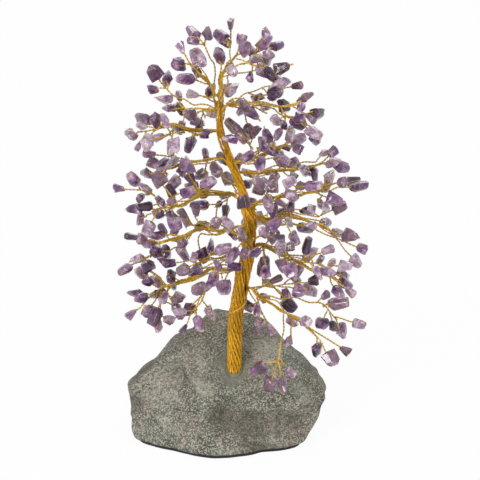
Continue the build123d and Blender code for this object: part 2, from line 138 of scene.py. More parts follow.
# The first colour where the factor is 0, the second where it is 1; 6, 7 and 2 are the colour sockets of Mix
def blend(factor, first, second):
    first = first if isinstance(first, Value) else (*first, 1.0)
    second = second if isinstance(second, Value) else (*second, 1.0)
    return factor.node("ShaderNodeMix", {0: factor, 6: first, 7: second}, 2, data_type="RGBA")


# The normal of a surface raised by height times distance, laid over the bump under it
def bump(height, strength, distance, under=None):
    inputs = {"Height": height, "Strength": strength, "Distance": distance}
    if under:
        inputs["Normal"] = under
    return height.node("ShaderNodeBump", inputs, "Normal")


# A value that the points of a mesh carry
def attribute(coords, name):
    return coords.node("ShaderNodeAttribute", None, "Fac", attribute_name=name)


# Vectors divided by their lengths
def unit(vectors):
    return vectors / np.linalg.norm(vectors, axis=-1, keepdims=True)


# Several surfaces as one: points stacked, face numbers shifted by the points before them
def joined(parts):
    bases = np.cumsum([0] + [len(points) for points, _, _ in parts[:-1]])
    points = np.vstack([part[0] for part in parts])
    quads = np.vstack([part[1] + base for part, base in zip(parts, bases)])
    corners = np.vstack([part[2] + base for part, base in zip(parts, bases)])
    return points, quads, corners


# One mesh object at the origin that stands for a node of the solid model; its points carry the values
def newPiece(name, surface, material, node, slot, **values):
    points, quads, corners = surface
    mesh = bpy.data.meshes.new(name)
    mesh.from_pydata(points.tolist(), [], quads.tolist() + corners.tolist())
    mesh.polygons.foreach_set("use_smooth", np.full(len(mesh.polygons), True))
    mesh.materials.append(material)
    for kind, value in values.items():
        mesh.attributes.new(kind, "FLOAT", "POINT").data.foreach_set("value", value)
    piece = bpy.data.objects.new(name, mesh)
    scene.collection.objects.link(piece)
    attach(piece, "root")
    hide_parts(node)
    return piece


# The separate solids of a node: points that agree to so many digits are one, and points that share a triangle
# share a label, the lowest of them
def solidsOf(name, digits=7):
    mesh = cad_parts[name].data
    points = np.empty(len(mesh.vertices) * 3)
    mesh.vertices.foreach_get("co", points)
    mesh.calc_loop_triangles()
    corners = np.empty(len(mesh.loop_triangles) * 3, dtype=np.int64)
    mesh.loop_triangles.foreach_get("vertices", corners)
    points = points.reshape(-1, 3)
    _, first, same = np.unique(np.round(points, digits), axis=0, return_index=True, return_inverse=True)
    points = points[first]
    triangles = same.ravel()[corners].reshape(-1, 3)
    labels = np.arange(len(points))
    settled = False
    while not settled:
        fresh = labels.copy()
        np.minimum.at(fresh, triangles.ravel(), np.repeat(labels[triangles].min(axis=1), 3))
        settled = (fresh == labels).all()
        labels = fresh
    solids = []
    for label in np.unique(labels[triangles]):
        own, local = np.unique(triangles[labels[triangles[:, 0]] == label], return_inverse=True)
        solids.append((points[own], local.reshape(-1, 3)))
    return solids


# Volume centre of a closed solid: the mean of its tetrahedra's centres, weighted by their volumes
def centreOf(points, triangles):
    a, b, c = (points[triangles[:, k]] for k in range(3))
    volume = np.einsum("ij,ij->i", a, np.cross(b, c))
    return ((a + b + c) * volume[:, None]).sum(axis=0) / volume.sum() / 4


# Outward direction of each flat face and its height above the centre; triangles that agree in both are one
def planesOf(points, triangles, centre, digits=3):
    a, b, c = (points[triangles[:, k]] for k in range(3))
    ways = unit(np.cross(b - a, c - a))
    heights = np.einsum("ij,ij->i", ways, a - centre)
    millimetres = heights * 1000
    _, first = np.unique(np.round(np.column_stack([ways, millimetres]), digits), axis=0, return_index=True)
    return ways[first], heights[first]


# Radius of a solid bounded by planes: its inverse is the power mean of each plane's cosine over its height,
# so a higher power gives sharper edges
def cutRadius(directions, ways, heights, power):
    shares = np.maximum(directions @ ways.T, 0) / heights
    return (shares ** power).sum(axis=1) ** (-1 / power)


# How near a direction is to an edge: the planes' summed shares over the largest one, less one, up to one
def edgeShare(directions, ways, heights, power):
    shares = np.maximum(directions @ ways.T, 0) / heights
    shares = (shares / shares.max(axis=1, keepdims=True)) ** power
    return np.clip(shares.sum(axis=1) - 1, 0, 1)


# Directions on a ball by turn and tilt, with a point at each pole, and the faces between them
def ballGrid(around, rings):
    turn = 2 * math.pi * np.arange(around) / around
    tilt = math.pi * np.arange(1, rings) / rings
    flat = np.sin(tilt)[:, None]
    middle = np.stack([flat * np.cos(turn), flat * np.sin(turn), np.cos(tilt)[:, None] + 0 * turn], axis=-1)
    directions = np.vstack([(0, 0, 1), middle.reshape(-1, 3), (0, 0, -1)])
    here = 1 + np.arange(around)
    ahead = 1 + (np.arange(around) + 1) % around
    down = around * np.arange(rings - 2)[:, None]
    below = down + around
    quads = np.stack([down + here, below + here, below + ahead, down + ahead], axis=-1).reshape(-1, 4)
    last = around * (rings - 2)
    top = np.column_stack([np.zeros_like(here), here, ahead])
    bottom = np.column_stack([last + here, np.full_like(here, len(directions) - 1), last + ahead])
    return directions, quads, np.vstack([top, bottom])


# A swept wire's centre line: points closer than reach are one ring, a ring's middle is its mean,
# and the rings are put in order by how many links they are from the lower end
def centreLine(points, triangles, reach):
    near = np.linalg.norm(points[:, None] - points[None], axis=2) < reach
    labels = np.arange(len(points))
    settled = False
    while not settled:
        fresh = np.where(near, labels[None], len(points)).min(axis=1)
        settled = (fresh == labels).all()
        labels = fresh
    rings, ring = np.unique(labels, return_inverse=True)
    middles = np.array([points[ring == k].mean(axis=0) for k in range(len(rings))])
    linked = np.zeros((len(rings), len(rings)), dtype=bool)
    for a, b in ((0, 1), (1, 2), (2, 0)):
        linked[ring[triangles[:, a]], ring[triangles[:, b]]] = True
    linked = (linked | linked.T) & ~np.eye(len(rings), dtype=bool)
    ends = np.flatnonzero(linked.sum(axis=1) == 1)
    links = np.full(len(rings), -1)
    links[ends[np.argmin(middles[ends, 2])]] = 0
    while (links < 0).any():
        links[linked[links >= 0].any(axis=0) & (links < 0)] = links.max() + 1
    return middles[np.argsort(links)]


# Catmull-Rom curve through the points: each span is a cubic of its two ends and their neighbours,
# read at even steps of its length
def smoothPath(points, spacing, spanSteps=12):
    padded = np.vstack([2 * points[0] - points[1], points, 2 * points[-1] - points[-2]])
    a, b, c, d = (padded[k:len(padded) - 3 + k, None] for k in range(4))
    t = np.linspace(0, 1, spanSteps, endpoint=False)[None, :, None]
    curve = 2 * b + (c - a) * t + (2 * a - 5 * b + 4 * c - d) * t ** 2 + (3 * b - a - 3 * c + d) * t ** 3
    fine = np.vstack([curve.reshape(-1, 3) / 2, points[-1:]])
    length = np.append(0, np.cumsum(np.linalg.norm(np.diff(fine, axis=0), axis=1)))
    stations = np.linspace(0, length[-1], max(3, int(round(length[-1] / spacing)) + 1))
    return np.column_stack([np.interp(stations, length, fine[:, k]) for k in range(3)]), stations


# Two directions across a path: the first is square to it and to the way that the path runs in least
def pathFrame(path):
    along = unit(np.gradient(path, axis=0))
    level = np.linalg.svd(along)[2][2]
    across = unit(np.cross(level, along) + 1e-9)  # never quite zero
    return across, np.cross(along, across)


# Round wire: a ring of points at each station, square to the path, with a point closing each end
def tube(path, radii, sides):
    across, side = pathFrame(path)
    turn = 2 * math.pi * np.arange(sides) / sides
    ring = np.cos(turn)[None, :, None] * across[:, None] + np.sin(turn)[None, :, None] * side[:, None]
    points = path[:, None] + ring * np.broadcast_to(radii, len(path))[:, None, None]
    points = np.vstack([points.reshape(-1, 3), path[:1], path[-1:]])
    here = np.arange(sides)
    ahead = (here + 1) % sides
    row = sides * np.arange(len(path) - 1)[:, None]
    after = row + sides
    quads = np.stack([row + here, row + ahead, after + ahead, after + here], axis=-1).reshape(-1, 4)
    last = sides * (len(path) - 1)
    start = np.column_stack([np.full(sides, len(points) - 2), ahead, here])
    end = np.column_stack([np.full(sides, len(points) - 1), last + here, last + ahead])
    return points, quads, np.vstack([start, end])


# Twisted wire: strands round a path, each on a helix whose turns are given along it, at the reach where
# neighbours would touch, pressed together a little
def rope(path, turns, strands, radii, sides, press=0.97):
    across, side = pathFrame(path)
    radii = np.broadcast_to(radii, len(path))
    reach = radii / math.sin(math.pi / strands) * press
    angle = 2 * math.pi * (turns + np.arange(strands)[:, None] / strands)
    offset = np.cos(angle)[..., None] * across + np.sin(angle)[..., None] * side
    return [tube(path + way * reach[:, None], radii, sides) for way in offset]


# Broken random heights: values on a lattice from a table, joined by straight slopes from corner to corner,
# the longest step of a point's place in its cell first, so flat facets meet in creases
def facets(points, size, dice, count=1024, strides=(73, 179, 283)):
    table = dice.uniform(-1, 1, count)
    points = points @ np.linalg.qr(dice.normal(size=(3, 3)))[0] / size
    spot = np.floor(points).astype(np.int64)
    part = points - spot
    order = np.argsort(-part, axis=1)
    steps = np.take_along_axis(part, order, axis=1)
    shares = -np.diff(np.column_stack([np.ones(len(points)), steps, np.zeros(len(points))]), axis=1)
    total = shares[:, 0] * table[(spot @ strides) % count]
    for k in range(3):
        spot = spot + np.eye(3, dtype=np.int64)[order[:, k]]
        total += shares[:, k + 1] * table[(spot @ strides) % count]
    return total


# Amethyst: tumbled quartz chips, zoned from pale lilac to near black, some of them smoky
chipLook = {
    "around": 12, "rings": 7, "seed": 15, "sharpAngle": 42.0, "gridSide": (0.3, 0.8, 0.5),
    # planes nearer than boreReach are the bore's; cuts are the corners that tumbling broke off;
    # gridSide is a way that no bore follows
    "boreReach": 0.001, "cuts": (3, 7), "cutDepth": (0.84, 1.0), "sharpness": (9.0, 24.0),
    "pale": (0.68, 0.53, 0.64), "middle": (0.33, 0.178, 0.31), "violet": (0.150, 0.050, 0.185),
    "dark": (0.042, 0.014, 0.040), "smoke": (0.225, 0.140, 0.150),
    # zones and clouds shift a chip's own tone, and the steps lead from shade to shade
    "zoneScale": 230.0, "zoneSpread": 1.7, "cloudScale": 920.0, "cloudSpread": 0.35,
    "middleStep": (0.0, 0.42), "violetStep": (0.42, 0.72), "darkStep": (0.70, 1.0), "smokeStep": (0.35, 0.6),
    "toneSpread": (1.5, 1.5), "toneShift": 0.15, "thinMost": 0.6, "thinPale": 0.6, "edgePale": 0.4,
    "edgePower": 14.0, "smokeLevels": (0.0, 0.35, 0.9), "smokeShares": (0.55, 0.25, 0.2),
    "roughness": (0.08, 0.22), "roughStep": (0.3, 0.8), "zoneBump": 0.6, "bump": (0.25, 0.0004),
    "transmission": 0.25, "ior": 1.544, "coat": 0.3, "coatRoughness": 0.08,
}
chipMaterial, shader, coords = newMaterial("amethystChip")
zone = noise(coords, chipLook["zoneScale"], detail=2.0)
cloud = noise(coords, chipLook["cloudScale"])
depth = attribute(coords, "tone") + (zone - 0.5) * chipLook["zoneSpread"]
depth = depth + (cloud - 0.5) * chipLook["cloudSpread"]
colour = blend(step(depth, *chipLook["middleStep"]), chipLook["pale"], chipLook["middle"])
colour = blend(step(depth, *chipLook["violetStep"]), colour, chipLook["violet"])
colour = blend(step(depth, *chipLook["darkStep"]), colour, chipLook["dark"])
smoked = attribute(coords, "smoky") * step(cloud, *chipLook["smokeStep"])
feed(blend(smoked, colour, chipLook["smoke"]), shader, "Base Color")
feed(between(step(cloud, *chipLook["roughStep"]), *chipLook["roughness"]), shader, "Roughness")
feed(bump(weigh(zone, cloud, chipLook["zoneBump"]), *chipLook["bump"]), shader, "Normal")
settle(shader, {"Transmission Weight": chipLook["transmission"], "IOR": chipLook["ior"]})
settle(shader, {"Coat Weight": chipLook["coat"], "Coat Roughness": chipLook["coatRoughness"]})

# the thin wire that comes out of a chip's bore and turns back over it; proud is how many radii its middle
# lies above the chip
loopLook = {"radius": 0.00012, "steps": 9, "sides": 4, "proud": 0.8}
chipDice = np.random.default_rng(chipLook["seed"])
chipGrid = ballGrid(chipLook["around"], chipLook["rings"])
loops, chipShapes = {}, {}
for limb in limbs:
    chips, tones, smoky = [], [], []
    loops[limb], chipShapes[limb] = [], []
    for own, triangles in solidsOf(f"{limb}_chips"):
        centre = centreOf(own, triangles)
        ways, heights = planesOf(own, triangles, centre)
        outer = heights > chipLook["boreReach"]
        bore = np.linalg.svd(ways[~outer])[2][2]
        ways, heights = ways[outer], heights[outer]
        # tumbling breaks more corners off: extra planes a little inside the drilled blank
        cuts = unit(chipDice.normal(size=(chipDice.integers(*chipLook["cuts"]), 3)))
        reach = ((own - centre) @ cuts.T).max(axis=0)
        ways = np.vstack([ways, cuts])
        heights = np.append(heights, reach * chipDice.uniform(*chipLook["cutDepth"], size=len(cuts)))
        power = chipDice.uniform(*chipLook["sharpness"])
        across = unit(np.cross(bore, chipLook["gridSide"]))
        basis = np.array([across, np.cross(bore, across), bore])
        directions = chipGrid[0] @ basis
        radius = cutRadius(directions, ways, heights, power)
        chips.append((centre + directions * radius[:, None], *chipGrid[1:]))
        chipShapes[limb].append((centre, ways, heights, power))
        # thin ends and edges let more light through, so they are paler
        thin = np.clip(radius / radius.mean() - 1, 0, chipLook["thinMost"])
        thin += chipLook["edgePale"] * edgeShare(directions, ways, heights, chipLook["edgePower"])
        tone = chipDice.beta(*chipLook["toneSpread"]) + chipLook["toneShift"]
        tones.append(tone - chipLook["thinPale"] * thin)
        smoke = chipDice.choice(chipLook["smokeLevels"], p=chipLook["smokeShares"])
        smoky.append(np.full(len(radius), smoke))
        # the loop is half a turn from one mouth of the bore to the other, just over the chip
        turn = chipDice.uniform(0, 2 * math.pi)
        bow = math.pi * np.linspace(0.0, 1.0, loopLook["steps"])[:, None]
        over = np.cos(bow) * bore + np.sin(bow) * (math.cos(turn) * basis[0] + math.sin(turn) * basis[1])
        rise = cutRadius(over, ways, heights, power) + loopLook["radius"] * loopLook["proud"]
        loops[limb].append(tube(centre + over * rise[:, None], loopLook["radius"], loopLook["sides"]))
    values = {"tone": np.concatenate(tones), "smoky": np.concatenate(smoky)}
    piece = newPiece(f"{limb}Chips", joined(chips), chipMaterial, f"{limb}_chips", "amethyst", **values)
    piece.data.set_sharp_from_angle(angle=math.radians(chipLook["sharpAngle"]))
print("chips made")

# Wire: soft gold-coloured wire, satin; broad patches and fine mottle decide where it is dull
wireLook = {"patchSize": 12.0, "dullStep": (0.36, 0.64), "roughSpread": 0.1}


# A wire's finish: the mean of a fine and a broad noise leads from deep to bright, and the fine one to rough
def wireFinish(name, look):
    material, shader, coords = newMaterial(name)
    mottle = noise(coords, look["mottleScale"])
    patches = noise(coords, look["mottleScale"] / wireLook["patchSize"], detail=2.0)
    bright = step(weigh(mottle, patches, 0.5), *wireLook["dullStep"])
    feed(blend(bright, look["deep"], look["bright"]), shader, "Base Color")
    low, high = look["roughness"] - wireLook["roughSpread"], look["roughness"] + wireLook["roughSpread"]
    feed(between(mottle, low, high), shader, "Roughness")
    settle(shader, {"Metallic": look["metallic"]})
    return material


# Limb lines: the middle of each limb, and along it how far it is out of the trunk, from 0 to 1
limbLook = {
    "bright": (0.80, 0.440, 0.022), "deep": (0.40, 0.192, 0.006), "roughness": 0.40, "mottleScale": 700.0,
    "metallic": 0.55, "strands": 3, "trunkStrand": 0.00043, "strand": 0.00030, "tip": 0.00022, "sides": 6,
    "trunkPitch": 0.013, "pitch": 0.0075, "perTurn": 7, "trunkReach": (0.0050, 0.0085), "coreStep": 0.004,
    "tipLength": 0.06, "ringReach": 0.0017, "pastFork": 0.001, "seed": 8,
}
limbLines = {limb: centreLine(*solidsOf(f"{limb}_limb")[0], limbLook["ringReach"]) for limb in limbs}
limbStep = limbLook["pitch"] / limbLook["perTurn"]
limbPaths = {limb: smoothPath(line, limbStep) for limb, line in limbLines.items()}
core = smoothPath(limbLines["leader"], limbLook["coreStep"])[0]
limbOut = {}
for limb in limbs:
    away = np.linalg.norm(limbPaths[limb][0][:, None] - core[None], axis=2).min(axis=1)
    limbOut[limb] = np.maximum.accumulate(np.interp(away, limbLook["trunkReach"], (0, 1)))

# Twigs: pairs of fine wires that run along their limb, leave it as sprigs and stems, and end in a chip
twigLook = {
    "bright": (0.70, 0.45, 0.060), "deep": (0.37, 0.225, 0.026), "roughness": 0.36, "mottleScale": 900.0,
    "metallic": 0.70, "strands": 2, "sides": 4, "perTurn": 6, "seed": 3,
    "stemStrand": 0.00028, "stemPitch": 0.0042, "sprigStrand": 0.00028, "sprigPitch": 0.0044,
    "stemCorners": 6, "ringReach": 0.0016, "sink": 0.0007,
    # along the limb: where a twig counts as on it, how far back its wire runs and how wide it stands off
    "onLimb": 0.0025, "outOfTrunk": 0.1, "inTrunk": 0.003, "runLength": (0.025, 0.090), "runStep": 4,
    "runReach": (0.0005, 0.0046), "swing": 2.6, "forkGap": 0.004, "tipGap": 0.008, "shortSprig": 5,
    "wave": 0.0009, "waveLength": 0.021, "bend": 0.0011, "bendLength": 0.019, "bendShare": 0.045,
}
twigDice = np.random.default_rng(twigLook["seed"])
forks = {limb: [] for limb in limbs}


# A twig's wire before it leaves its limb: the limb's own path from the trunk on, shifted to the twig's side
# by a reach that grows evenly up to the fork; a twig that doesn't start on the limb keeps its own line
def wireAlongLimb(limb, line):
    path, stations = limbPaths[limb]
    gaps = np.linalg.norm(path - line[0], axis=1)
    root = gaps.argmin()
    across, side = pathFrame(path)
    way = line[1] - line[0]
    leaves = stations[np.argmax(limbOut[limb] > twigLook["outOfTrunk"])] - twigLook["inTrunk"]
    back = max(leaves, stations[root] - twigDice.uniform(*twigLook["runLength"]))
    turn = math.atan2(way @ side[root], way @ across[root])
    swing = twigDice.uniform(-1, 1) * twigLook["swing"]
    ahead = (stations > back) & (stations < stations[root] - twigLook["forkGap"])
    part = np.flatnonzero(ahead)[::-twigLook["runStep"]][::-1]
    if gaps[root] > twigLook["onLimb"]:
        return line
    forks[limb].append(stations[root])
    if len(part) < 2:
        return line
    share = (stations[part] - back) / (stations[root] - back)
    angle = turn + swing * (1 - share)
    shift = np.cos(angle)[:, None] * across[part] + np.sin(angle)[:, None] * side[part]
    # a hand-bent wire waves a little in and out of the bundle
    phase = stations[part] / twigLook["waveLength"] + twigDice.uniform()
    wave = np.sin(2 * math.pi * phase) * twigLook["wave"]
    reach = np.interp(share, (0, 1), twigLook["runReach"]) + wave * share
    sprig = smoothPath(line, twigLook["forkGap"])[0]
    # a point or two of the sprig give way to the bend out of the limb
    skipped = 1 if len(sprig) < twigLook["shortSprig"] else 2
    # at the limb's own end the wire stays close, so that no bare end is left
    if stations[-1] - stations[root] < twigLook["tipGap"]:
        reach = np.full(len(part), twigLook["runReach"][0])
        skipped = 0
    return np.vstack([path[part] + shift * reach[:, None], sprig[skipped:]])


twigMaterial = wireFinish("twigWire", twigLook)
for limb in limbs:
    strands = loops[limb]
    for own, triangles in solidsOf(f"{limb}_twigs"):
        stem = len(own) == twigLook["stemCorners"]  # a chip's straight stem is three-sided in the solid model
        if stem:
            spread = own - own.mean(axis=0)
            high = spread @ np.linalg.svd(spread)[2][0] > 0
            line = np.array([own[~high].mean(axis=0), own[high].mean(axis=0)])
            # from the wire that carries it to the far mouth of its chip's bore
            gaps = np.array([np.linalg.norm(line - shape[0], axis=1) for shape in chipShapes[limb]])
            chip, end = np.unravel_index(gaps.argmin(), gaps.shape)
            centre, ways, heights, power = chipShapes[limb][chip]
            line = line[[1 - end, end]]
            way = unit(line[1] - line[0])
            mouth = cutRadius(way[None], ways, heights, power)[0]
            line[1] = line[0] + way * ((centre - line[0]) @ way + mouth)
        else:
            line = centreLine(own, triangles, twigLook["ringReach"])
        size, pitch = (twigLook[("stem" if stem else "sprig") + key] for key in ("Strand", "Pitch"))
        line = wireAlongLimb(limb, line)
        # the end is wound into the wire that carries it
        line[0] -= unit(line[1] - line[0]) * twigLook["sink"]
        path, stations = smoothPath(line, pitch / twigLook["perTurn"])
        # bent by hand: a slow wave to one side, fading out at both ends
        bend = min(twigLook["bend"], twigLook["bendShare"] * stations[-1])
        wave = np.sin(2 * math.pi * (stations / twigLook["bendLength"] + twigDice.uniform()))
        wave *= np.sin(math.pi * stations / stations[-1]) * bend
        path = path + pathFrame(path)[twigDice.integers(2)] * wave[:, None]
        turns = stations / pitch + twigDice.uniform()
        strands += rope(path, turns, twigLook["strands"], size, twigLook["sides"])
    newPiece(f"{limb}Twigs", joined(strands), twigMaterial, f"{limb}_twigs", "wire")
print("twigs made")

# Limbs: each is a rope of three wires, thick in the trunk, where it fills in against its neighbours
limbMaterial = wireFinish("limbWire", limbLook)
limbDice = np.random.default_rng(limbLook["seed"])
for limb in limbs:
    # it ends where its last twig goes on
    kept = limbPaths[limb][1] <= max(forks[limb]) + limbLook["pastFork"]
    path, stations, out = limbPaths[limb][0][kept], limbPaths[limb][1][kept], limbOut[limb][kept]
    radii = limbLook["trunkStrand"] + (limbLook["strand"] - limbLook["trunkStrand"]) * out
    end = np.clip((stations[-1] - stations) / limbLook["tipLength"], 0, 1)
    radii = limbLook["tip"] + (radii - limbLook["tip"]) * end
    # the turns add up along the limb: slow in the trunk, quick outside
    rate = (1 - out) / limbLook["trunkPitch"] + out / limbLook["pitch"]
    turns = np.cumsum(rate) * stations[1] + limbDice.uniform()
    strands = rope(path, turns, limbLook["strands"], radii, limbLook["sides"])
    newPiece(f"{limb}Limb", joined(strands), limbMaterial, f"{limb}_limb", "wire")
print("limbs made")

# Stone: grey rock, broken along flat faces, with worn edges and a speckle of pale and dark grains
stoneLook = {
    "around": 320, "rings": 180, "seed": 7, "centreShare": 0.4, "mostReach": 0.2, "sharpness": 130.0,
    # planes nearer than socketReach are the socket's; breaks are extra planes a little inside the solid
    "socketReach": 0.012, "underside": -0.99, "breaks": 40, "breakDepth": (0.002, 0.022), "lowestBreak": -0.5,
    "facetSizes": (0.034, 0.019, 0.010, 0.005), "facetDepths": (0.0030, 0.0030, 0.0014, 0.0006),
    "level": -0.0004, "footRound": 28.0, "calmReach": 0.016, "calmFrom": 0.4, "calmLeast": 0.12,
    # scoops and lips of the front, as seen from the camera: across, up, length, width, turn, depth
    "scoops": (
        (-0.0310, 0.0405, 0.0150, 0.0085, -0.8, 0.0042), (-0.0330, 0.0205, 0.0190, 0.0070, -0.75, 0.0040),
        (0.0265, 0.0090, 0.0240, 0.0110, 0.15, 0.0036), (-0.0040, 0.0110, 0.0150, 0.0095, 1.4, 0.0034),
        (-0.0185, 0.0350, 0.0160, 0.0040, -0.8, -0.0016), (0.0010, 0.0290, 0.0240, 0.0045, 0.0, -0.0014),
        (0.0390, 0.0380, 0.0150, 0.0090, -0.5, 0.0026), (-0.0320, 0.0560, 0.0075, 0.0060, 0.6, -0.0014),
    ),
    "frontReach": 0.2, "drillSides": 48, "drillOver": 0.03, "glueGap": 0.00015,
    "light": (0.48, 0.460, 0.380), "green": (0.178, 0.193, 0.154), "brown": (0.228, 0.187, 0.152),
    "dark": (0.055, 0.052, 0.041), "stain": (0.185, 0.188, 0.140),
    # noises: how fine each is, and the streaks' turn and stretch
    "grainScale": 1600.0, "fleckScale": 640.0, "streakScale": 120.0, "patchScale": 48.0, "tintScale": 34.0,
    "streakTurn": (0.3, 0.6, 0.0), "streakStretch": (1.0, 1.0, 2.6),
    # shades: the step of each noise from one colour to the next, and how far the next one covers
    "tintStep": (0.36, 0.64), "patchStep": (0.28, 0.60), "darkCrystal": 0.6, "darkStep": (0.30, 0.44),
    "darkLeft": (0.38, 1.0), "lightCrystal": 0.7, "lightStep": (0.55, 0.72), "lightCover": 0.72,
    # form darkens the hollows with painted shade and dirt, and pales the raised places with painted light and
    # rubbing
    "hollow": 0.0034, "streakForm": 1.2, "dirtAndShadeStep": (-0.1, -1.1), "dirtAndShadeCover": 0.6,
    "rubAndLightStep": (0.2, 1.3), "rubAndLightFleck": (0.30, 0.60), "rubAndLightCover": 0.6,
    "wornPower": 260.0, "wornFleck": (0.40, 0.60), "wornCover": 0.5,
    "stainReach": 0.0120, "stainEdge": 2.0, "stainPatch": 0.006, "stainCover": 0.75, "stainGloss": 0.4,
    "roughness": (0.62, 0.92), "gloss": 0.25, "streakBump": (0.8, 0.0016), "grainBump": (0.6, 0.0005),
    "bumpFleck": 0.6,
}
stoneMaterial, shader, coords = newMaterial("roughStone")
# each crystal takes one shade of its own, the red of its cell's random colour
cell = coords.node("ShaderNodeTexVoronoi", {"Vector": coords, "Scale": stoneLook["grainScale"]}, "Color")
crystal = cell.node("ShaderNodeSeparateColor", {"Color": cell}, "Red")
fleck = noise(coords, stoneLook["fleckScale"], detail=4.0, rough=0.7)
turned = {"Vector": coords, "Rotation": stoneLook["streakTurn"], "Scale": stoneLook["streakStretch"]}
streak = noise(coords.node("ShaderNodeMapping", turned), stoneLook["streakScale"], detail=5.0, rough=0.7)
patch = noise(coords, stoneLook["patchScale"], detail=4.0)
# the grey leans to green in some places and to brown in others, and darkens in patches
tint = step(noise(coords, stoneLook["tintScale"], detail=4.0, rough=0.65), *stoneLook["tintStep"])
colour = blend(tint, stoneLook["green"], stoneLook["brown"])
colour = blend(step(weigh(patch, streak, 0.5), *stoneLook["patchStep"]), stoneLook["dark"], colour)
left = step(weigh(crystal, fleck, stoneLook["darkCrystal"]), *stoneLook["darkStep"])
left = between(left, *stoneLook["darkLeft"])
colour = blend(left, stoneLook["dark"], colour)
pale = step(weigh(crystal, fleck, stoneLook["lightCrystal"]), *stoneLook["lightStep"])
colour = blend(pale * stoneLook["lightCover"], colour, stoneLook["light"])
# painted shade and dirt darken the hollows; painted light and rubbing pale the raised places; edges are worn
# pale
form = attribute(coords, "form") + (streak - 0.5) * stoneLook["streakForm"]
# painted shade in the hollows, as well as dirt
colour = blend(step(form, *stoneLook["dirtAndShadeStep"]) * stoneLook["dirtAndShadeCover"], colour, stoneLook["dark"])
# painted light on the raised places, as well as rubbing
rubbedAndLit = step(form, *stoneLook["rubAndLightStep"]) * step(fleck, *stoneLook["rubAndLightFleck"]) * stoneLook["rubAndLightCover"]
colour = blend(rubbedAndLit, colour, stoneLook["light"])
worn = attribute(coords, "worn") * step(fleck, *stoneLook["wornFleck"]) * stoneLook["wornCover"]
colour = blend(worn, colour, stoneLook["light"])
# glue has soaked in round the trunk's foot
stain = attribute(coords, "stain")
feed(blend(stain * stoneLook["stainCover"], colour, stoneLook["stain"]), shader, "Base Color")
feed(between(fleck, *stoneLook["roughness"]) - stain * stoneLook["stainGloss"], shader, "Roughness")
coarse = bump(streak, *stoneLook["streakBump"])
fine = weigh(fleck, crystal, stoneLook["bumpFleck"])
feed(bump(fine, *stoneLook["grainBump"], coarse), shader, "Normal")
settle(shader, {"Specular IOR Level": stoneLook["gloss"]})

own, triangles = solidsOf("stone_base")[0]
low, high = own.min(axis=0), own.max(axis=0)
centre = np.array((0.0, 0.0, low[2] + stoneLook["centreShare"] * (high[2] - low[2])))
ways, heights = planesOf(own, triangles, centre)
broad = (heights > stoneLook["socketReach"]) & (ways[:, 2] > stoneLook["underside"])
stoneDice = np.random.default_rng(stoneLook["seed"])
breaks = unit(stoneDice.normal(size=(stoneLook["breaks"], 3)))
breaks = breaks[breaks[:, 2] > stoneLook["lowestBreak"]]
inside = 1 - stoneDice.uniform(*stoneLook["breakDepth"], size=len(breaks))
reach = ((own - centre) @ breaks.T).max(axis=0) * inside
ways, heights = np.vstack([ways[broad], breaks]), np.append(heights[broad], reach)
directions, quads, corners = ballGrid(stoneLook["around"], stoneLook["rings"])
radius = np.minimum(cutRadius(directions, ways, heights, stoneLook["sharpness"]), stoneLook["mostReach"])
# broken facets in several sizes, calm round the foot of the trunk
sleeve = np.array(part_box("socket_glue"))
foot = sleeve.mean(axis=0)
spots = directions * radius[:, None]
fromFoot = np.linalg.norm((spots + centre - foot)[:, :2], axis=1)
calm = np.clip(fromFoot / stoneLook["calmReach"] - stoneLook["calmFrom"], stoneLook["calmLeast"], 1)
relief = np.zeros(len(radius))
for size, tall in zip(stoneLook["facetSizes"], stoneLook["facetDepths"]):
    relief += tall * facets(spots, size, stoneDice)
# each scoop is a round bowl in the picture's plane, turned and stretched, on the side that faces the camera
place = spots + centre
up = place[:, 1] * math.sin(viewTilt) + place[:, 2] * math.cos(viewTilt)
for x, y, long, wide, turn, deep in stoneLook["scoops"]:
    across, along = place[:, 0] - x, up - y
    bowl = ((across * math.cos(turn) + along * math.sin(turn)) / long) ** 2
    bowl = 1 - bowl - ((along * math.cos(turn) - across * math.sin(turn)) / wide) ** 2
    relief -= np.where(directions[:, 1] < stoneLook["frontReach"], deep * np.maximum(bowl, 0), 0)
radius = radius + (relief - stoneLook["level"]) * calm
# the underside is flat for the pad, and the edge round it is the power mean of both, so it is rounded
fall = (centre[2] - low[2]) / np.maximum(-directions[:, 2], 1e-6)  # never divided by zero
radius = radius * (1 + (radius / fall) ** stoneLook["footRound"]) ** (-1 / stoneLook["footRound"])
surface = centre + directions * radius[:, None]
# form is the relief, which sets the painted shade in the hollows and the painted light on the raised places
values = {
    "worn": edgeShare(directions, ways, heights, stoneLook["wornPower"]),
    "form": relief / stoneLook["hollow"],
}
soaked = stoneLook["stainEdge"] * (1 - fromFoot / stoneLook["stainReach"])
values["stain"] = np.clip(soaked + facets(spots, stoneLook["stainPatch"], stoneDice), 0, 1)
stone = newPiece("stoneBase", (surface, quads, corners), stoneMaterial, "stone_base", "stone", **values)

# the drilled socket, cut out of it where the glue sleeve sits
bottom, top = sleeve
uncut = stone.data
drillPath = np.array([(foot[0], foot[1], bottom[2]), (foot[0], foot[1], top[2] + stoneLook["drillOver"])])
drill = tube(drillPath, (top[0] - bottom[0]) / 2 + stoneLook["glueGap"], stoneLook["drillSides"])
drillMesh = bpy.data.meshes.new("socketDrill")
drillMesh.from_pydata(drill[0].tolist(), [], drill[1].tolist() + drill[2].tolist())
cutter = bpy.data.objects.new("socketDrill", drillMesh)
scene.collection.objects.link(cutter)
socket = stone.modifiers.new("socket", "BOOLEAN")
socket.object = cutter
socket.solver = "EXACT"
drilled = bpy.data.meshes.new_from_object(stone.evaluated_get(bpy.context.evaluated_depsgraph_get()))
stone.modifiers.clear()
stone.data = drilled
bpy.data.objects.remove(cutter)
bpy.data.meshes.remove(drillMesh)
bpy.data.meshes.remove(uncut)
print("stone made")

